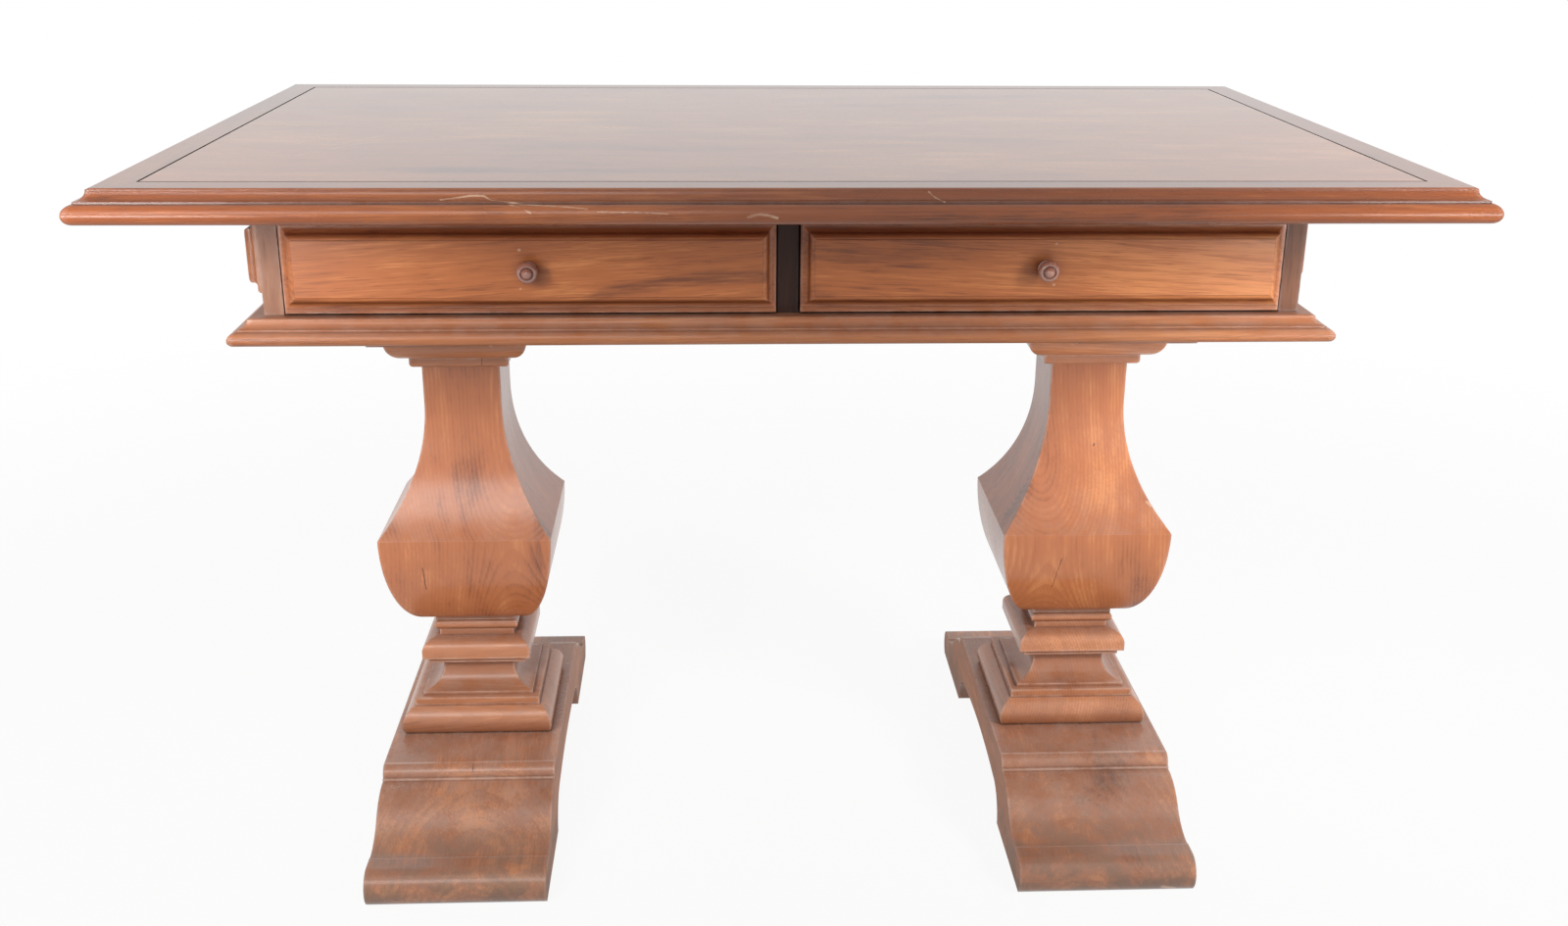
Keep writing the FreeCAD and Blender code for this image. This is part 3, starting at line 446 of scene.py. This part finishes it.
class Wood(Graph):
    """A solid wood: growth rings round a pith line beside the piece, seen on every face that cuts them."""

    def __init__(self, piece, finish, axis, pith, tilt, seed):
        self.material = empty_material("wood_" + piece)
        super().__init__(self.material.node_tree)
        self.piece = piece
        self.kind = FINISHES[finish]
        self.is_foot = finish == "foot"
        self.soil = shade(self.kind["dark"], 0.0, 0.35)
        self.place = self.add("ShaderNodeTexCoord").outputs["Object"]
        self.parts = self.split(self.place)
        self.facing = self.split(self.add("ShaderNodeNewGeometry").outputs["Normal"])
        self.patchy = self.noise("patch", self.place)[0]
        self.grow(axis, pith, tilt, seed)
        self.wear()
        self.settle()
        self.mark()
        shader = self.surface("ShaderNodeBsdfPrincipled")
        shader.inputs["IOR"].default_value = self.kind["ior"]
        self.put(shader.inputs["Base Color"], self.colour)
        self.put(shader.inputs["Roughness"], self.roughness())
        self.put(shader.inputs["Normal"], self.relief())

    def in_trunk(self, axis, pith, tilt, seed):
        """The place in the trunk: across it from its pith, and along it."""
        low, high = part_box(self.piece)
        centre = (low + high) / 2
        order = AXES[axis]
        turn = (tilt[0], tilt[1], 0.0)
        middle = Euler(turn).to_matrix() @ Vector([centre[index] for index in order])
        laid = self.add("ShaderNodeMapping")
        self.put(laid.inputs["Vector"], self.join(*[self.parts[index] for index in order]))
        laid.inputs["Rotation"].default_value = turn
        laid.inputs["Location"].default_value = (
            -middle.x - pith[0], -middle.y - pith[1], -middle.z + TRUNK_STEP * seed)
        return laid.outputs[0]

    def grow(self, axis, pith, tilt, seed):
        """The wood's own colour, from its rings, fibres, pores and figure."""
        kind = self.kind
        grain = self.in_trunk(axis, pith, tilt, seed)

        # The rings wander slowly along the trunk and a little from year to year.
        moved = self.swayed(grain, self.noise("slow_sway", grain)[1], SLOW_SWAY)
        moved = self.swayed(moved, self.noise("quick_sway", grain)[1], QUICK_SWAY)
        radius = self.vector("LENGTH", self.vector("MULTIPLY", moved, (1.0, 1.0, 0.0)))
        years = self.math("FRACT", self.math("DIVIDE", radius, kind["ring"]))
        late = self.product(self.smooth(years, 0.25, 0.92), self.smooth(years, 0.93, 1.0, 1.0, 0.0))
        era = self.noise("era", self.join(radius))[0]

        # Fibres and pores run with the grain, and the figure lies across it.
        self.fibre = self.noise("fibre", grain)[0]
        self.pores = self.smooth(self.noise("hair", grain)[0], 0.62, 0.74)
        self.lines = self.noise("lines", moved)[0]
        tone = self.noise("tone", grain)[0]
        flame, self.flame_colour = self.noise("flame", moved)
        streak = self.smooth(self.noise("streak", moved)[0], 0.52, 0.74)

        # How dark the wood is, from all of these.
        depth = self.shifted(0.40, tone, 0.5, 0.75)
        depth = self.shifted(depth, late, 0.3, kind["rings"])
        depth = self.shifted(depth, self.fibre, 0.5, 0.65 * kind["fine"])
        depth = self.shifted(depth, self.lines, 0.5, 0.55 * kind["fine"])
        depth = self.shifted(depth, era, 0.5, 4.0 * kind["rings"])
        depth = self.shifted(depth, flame, 0.5, 3.0 * kind["figure"])
        depth = self.math("MULTIPLY_ADD", streak, kind["streak"], depth, clamp=True)
        colour = self.ramp(depth, ((0.08, kind["light"]), (0.45, kind["middle"]), (0.95, kind["dark"])))
        self.colour = self.mix(self.product(self.pores, 0.40 * kind["fine"]), colour, kind["dark"])

    def wear(self):
        """Painted shade with stain and dirt darkens hollows, corners and creases; arrises get wear and painted
        highlight.
        """
        kind = self.kind
        # Painted shade, with some stain in it: hollows and what lies under overhangs are darkened as if
        # shaded.
        room = self.openness(HOLLOW_REACH, HOLLOW_RAYS)
        stained = self.product(self.smooth(room, 0.96, 0.70), kind["stain"])
        self.colour = self.mix(stained, self.colour, kind["dark"])
        # Painted shade with dirt: deep corners and fine creases are darkened towards a dark tone.
        hidden = self.product(self.smooth(room, 0.42, 0.10), kind["grime"])
        creased = self.product(self.smooth(self.openness(CREASE_REACH, FINE_RAYS), 0.74, 0.34), kind["crease"])
        self.colour = self.mix(self.math("MAXIMUM", hidden, creased), self.colour, self.soil)
        # Painted highlight with wear: arrises are lightened as pale lines that are worn and lit.
        arris = self.openness(ARRIS_REACH, FINE_RAYS, inward=True)
        edge = self.product(self.smooth(arris, 0.86, 0.58), kind["wear"])
        edge = self.product(edge, self.smooth(self.patchy, 0.34, 0.60, 0.25, 1.0))
        if self.is_foot:
            edge = self.with_foot_lines(edge)
        self.colour = self.mix(edge, self.colour, shade(kind["light"], 0.30, 0.62))

    def with_foot_lines(self, edge):
        """The pale edges, with the foot's arrises painted as worn, lit lines along their whole length."""
        mirrored = self.vector("MULTIPLY", self.vector("ABSOLUTE", self.place), (0.0, 1.0, 1.0))
        uneven = self.smooth(self.patchy, 0.32, 0.58, 0.30, 0.75)
        for distance, height in FOOT_LINES:
            gap = self.vector("DISTANCE", mirrored, (0.0, distance, height))
            line = self.product(self.smooth(gap, RUBBED_WIDTH, RUBBED_CORE), uneven)
            edge = self.math("MAXIMUM", edge, line)
        return edge

    def settle(self):
        """Dust with a painted grey sheen lies on what faces up, and feet gather floor dirt on their toes."""
        kind = self.kind
        # Dust with painted sheen: faces turned up are greyed, partly standing for their pale reflection.
        dusty = self.smooth(self.facing[2], kind["level"], 0.98, kind["haze"], kind["haze"] + kind["dust"])
        self.dusty = self.product(dusty, self.smooth(self.patchy, 0.22, 0.74, 0.40, 1.45))
        self.colour = self.mix(self.dusty, self.colour, DUST)
        if self.is_foot:
            low = self.smooth(self.parts[2], 0.062, 0.012)
            dirty = self.product(low, self.smooth(self.patchy, 0.38, 0.62))
            self.colour = self.mix(self.product(dirty, 0.50), self.colour, FLOOR_DIRT)

    def mark(self):
        """Cracks and heartwood are dark and scuffs pale, each along its own run of points."""
        self.cracked = None
        marks = MARKS.get(self.piece, [])
        if not marks:
            return
        shaky = self.swayed(self.place, self.noise("shake", self.place)[1], MARK_SHAKE)
        for mark, width, points in marks:
            if mark == "heart":
                bent = self.swayed(self.place, self.flame_colour, HEART_BEND)
                found = self.run(bent, points, width)
                ripe = self.product(found, self.smooth(self.lines, 0.30, 0.65, 0.20, 0.80))
                self.colour = self.mix(ripe, self.colour, self.kind["dark"])
                continue
            found = self.run(shaky, points, width)
            if mark == "crack":
                self.colour = self.mix(self.product(found, 0.88), self.colour, self.soil)
                self.cracked = found if self.cracked is None else self.math("MAXIMUM", found, self.cracked)
            else:
                broken = self.product(found, self.smooth(self.patchy, 0.30, 0.58, 0.25, 0.85))
                self.colour = self.mix(broken, self.colour, SCUFFED)

    def roughness(self):
        """How dull it is: more at pores, under dust and on a foot's flanks, less on polished levels."""
        kind = self.kind
        rough = self.shifted(kind["rough"], self.noise("smear", self.place)[0], 0.5, 0.16)
        rough = self.math("MULTIPLY_ADD", self.pores, 0.05, rough)
        rough = self.math("SUBTRACT", rough, self.smooth(self.facing[2], 0.90, 0.99, 0.0, kind["polish"]))
        rough = self.math("MAXIMUM", self.math("MULTIPLY_ADD", self.dusty, 0.15, rough), 0.03, clamp=True)
        if self.is_foot:
            flank = self.smooth(self.math("ABSOLUTE", self.facing[0]), 0.80, 0.96, 0.0, 0.38)
            rough = self.math("ADD", rough, flank, clamp=True)
        return rough

    def relief(self):
        """The surface's lie: edges a little eased, and fibres, pores and cracks in it."""
        eased = self.add("ShaderNodeBevel")
        eased.samples = EDGE_RAYS
        eased.inputs["Radius"].default_value = EASED_EDGE
        height = self.math("MULTIPLY_ADD", self.pores, -0.8, self.product(self.fibre, 0.5))
        if self.cracked is not None:
            height = self.math("MULTIPLY_ADD", self.cracked, -4.0, height)
        bump = self.add("ShaderNodeBump")
        bump.inputs["Strength"].default_value = PORE_STRENGTH
        bump.inputs["Distance"].default_value = PORE_DEPTH
        self.put(bump.inputs["Height"], height)
        self.put(bump.inputs["Normal"], eased.outputs[0])
        return bump.outputs[0]


def steel(name):
    """Zinc-grey steel with a fine turned grain, for the rods, nuts and screws inside."""
    material = empty_material(name)
    graph = Graph(material.node_tree)
    place = graph.add("ShaderNodeTexCoord").outputs["Object"]
    turned = graph.noise("turning", place)[0]
    cloud = graph.noise("cloud", place)[0]
    shader = graph.surface("ShaderNodeBsdfPrincipled")
    graph.put(shader.inputs["Base Color"], graph.ramp(cloud, ((0.25, STEEL_DARK), (0.75, STEEL_LIGHT))))
    graph.put(shader.inputs["Roughness"], graph.smooth(turned, 0.2, 0.8, 0.28, 0.48))
    shader.inputs["Metallic"].default_value = 1.0
    return material


def dress(node, material):
    """Give a node of the CAD one material in all its slots."""
    slots = NODES[node].data.materials
    if len(slots) == 0:
        slots.append(material)
    for index in range(len(slots)):
        slots[index] = material


for number, (piece, finish, axis, pith, tilt) in enumerate(PIECES):
    dress(piece, Wood(piece, finish, axis, pith, tilt, FIRST_SEED + NEXT_SEED * number).material)
hardware = steel("steel_hardware")
for piece in STEEL_PIECES:
    dress(piece, hardware)


def white_for_sight(graph, lit):
    """The share of plain white to show: 1 for what is seen, mirrored or seen through, lit for the rest."""
    path = graph.add("ShaderNodeLightPath").outputs
    seen = graph.math("MAXIMUM", path["Is Camera Ray"], path["Is Glossy Ray"])
    seen = graph.math("MAXIMUM", seen, path["Is Transmission Ray"])
    return graph.smooth(seen, 0.0, 1.0, lit, 1.0)


# A white surround lights the desk softly.
world = bpy.data.worlds.new("white_room")
SCENE.world = world
world.use_nodes = True
room = Graph(world.node_tree)
surround = world.node_tree.nodes["Background"]
surround.inputs["Color"].default_value = WHITE
room.put(surround.inputs["Strength"], white_for_sight(room, ROOM_LIGHT))

# A pale floor keeps the desk's shadow and turns white farther away.
floor_mesh = bpy.data.meshes.new("floor")
corners = [(-FLOOR_REACH, -FLOOR_REACH, 0), (FLOOR_REACH, -FLOOR_REACH, 0),
           (FLOOR_REACH, FLOOR_REACH, 0), (-FLOOR_REACH, FLOOR_REACH, 0)]
floor_mesh.from_pydata(corners, [], [(0, 1, 2, 3)])
floor = bpy.data.objects.new("floor", floor_mesh)
SCENE.collection.objects.link(floor)
floor_material = empty_material("pale_floor")
ground = Graph(floor_material.node_tree)
shaded = ground.add("ShaderNodeBsdfDiffuse")
shaded.inputs["Color"].default_value = FLOOR_GREY
white = ground.add("ShaderNodeEmission")
white.inputs["Color"].default_value = WHITE
away = ground.vector("LENGTH", ground.add("ShaderNodeTexCoord").outputs["Object"])
fade = ground.smooth(away, FADE_START, FADE_END, NEAR_WHITE, 1.0)
both = ground.surface("ShaderNodeMixShader")
ground.put(both.inputs[0], ground.product(white_for_sight(ground, 0.0), fade))
ground.put(both.inputs[1], shaded.outputs[0])
ground.put(both.inputs[2], white.outputs[0])
floor_mesh.materials.append(floor_material)

for name, (place, target, width, height, spread, power, mirrored) in LAMPS.items():
    lamp = bpy.data.lights.new(name, "AREA")
    lamp.shape = "RECTANGLE"
    lamp.size = width
    lamp.size_y = height
    lamp.energy = power
    lamp.spread = math.radians(spread)
    holder = bpy.data.objects.new(name, lamp)
    SCENE.collection.objects.link(holder)
    holder.location = place
    holder.rotation_euler = (Vector(target) - Vector(place)).to_track_quat("-Z", "Y").to_euler()
    holder.visible_glossy = mirrored

ahead = Vector((math.sin(YAW) * math.cos(PITCH), math.cos(YAW) * math.cos(PITCH), -math.sin(PITCH)))
level = Vector((math.cos(YAW), -math.sin(YAW), 0.0))
upward = level.cross(ahead)
across = level * math.cos(ROLL) + upward * math.sin(ROLL)
above = upward * math.cos(ROLL) - level * math.sin(ROLL)
lens = bpy.data.cameras.new("camera")
lens.sensor_fit = "HORIZONTAL"
lens.sensor_width = SENSOR_WIDTH
lens.lens = SENSOR_WIDTH * FOCAL_PIXELS / PICTURE_PIXELS
camera = bpy.data.objects.new("camera", lens)
SCENE.collection.objects.link(camera)
stand = Matrix((across, above, -ahead)).transposed().to_4x4()
stand.translation = Vector(EYE)
camera.matrix_world = stand
SCENE.camera = camera
